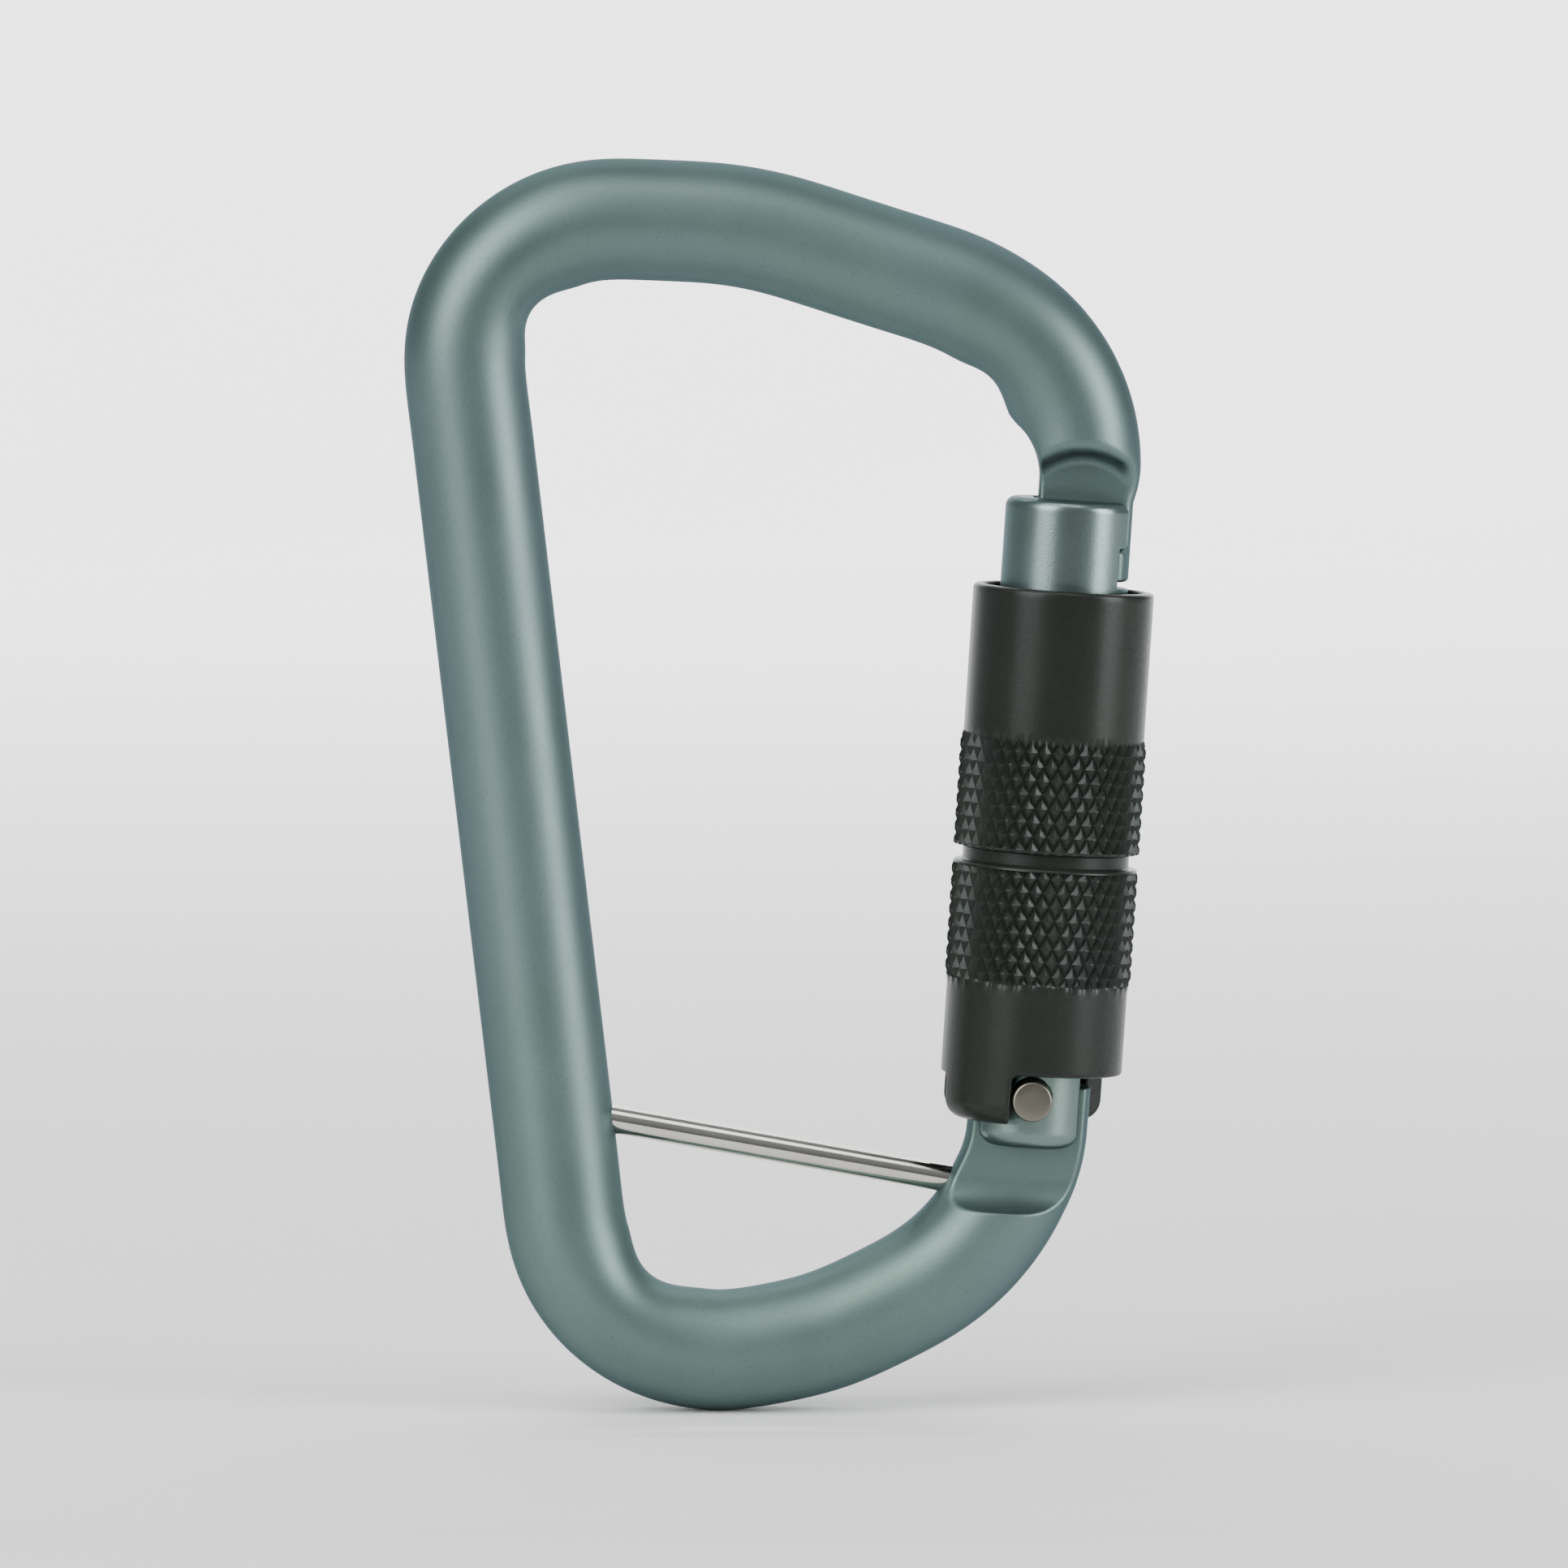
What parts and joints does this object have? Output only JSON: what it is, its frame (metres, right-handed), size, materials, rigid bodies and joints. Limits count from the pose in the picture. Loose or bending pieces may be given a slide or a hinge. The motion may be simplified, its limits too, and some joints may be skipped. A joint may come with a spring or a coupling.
{
  "type": "locking carabiner",
  "caption": "D-shaped aluminium carabiner with a twist-lock sleeve over its gate and a steel captive pin across the lower basket.",
  "frame": {"origin": "inner bearing point of the top basket, on the bar's inner surface, in the plane of the frame", "axes": "+Z along the carabiner's length towards the top basket, +X from the spine towards the gate, -Y towards the front"},
  "size_m": [0.0675, 0.0168, 0.113],
  "materials": {
    "anodised_aluminium": "satin anodised, grey with a blue-green cast",
    "black_anodised": "satin black anodised",
    "polished_steel": "polished",
    "rivet_steel": "satin",
    "spring_steel": "drawn wire",
    "brass": "turned"
  },
  "bodies": {
    "frame": {"frame_body": "anodised_aluminium", "captive_pin": "polished_steel"},
    "gate": {"gate_body": "anodised_aluminium", "pivot_rivet": "rivet_steel", "gate_spring": "spring_steel", "sleeve_spring": "spring_steel", "guide_ring": "black_anodised", "snap_ring": "spring_steel"},
    "plunger": {"gate_plunger": "brass"},
    "sleeve": {"lock_sleeve": "black_anodised"}
  },
  "joints": [
    {"name": "gate_pivot", "type": "hinge", "parent": "frame", "child": "gate", "pos_m": [0.03504, 0, -0.0734], "axis": [0, -1, 0], "range_deg": [0, 30], "stiffness_Nm_per_rad": 0.4, "springref_deg": -28.65},
    {"name": "sleeve_twist", "type": "hinge", "parent": "gate", "child": "sleeve", "pos_m": [0.03504, 0, -0.0734], "axis": [-0.0658, 0, -0.9978], "range_deg": [0, 105], "stiffness_Nm_per_rad": 0.01, "springref_deg": -57.3},
    {"name": "plunger_slide", "type": "slide", "parent": "gate", "child": "plunger", "axis": [0.0658, 0, 0.9978], "range_m": [0, 0.00066], "deforming": ["gate_spring"]}
  ],
  "couplings": [
    {"joint": "plunger_slide", "follows": "gate_pivot", "m_per_rad": 0.001233}
  ]
}
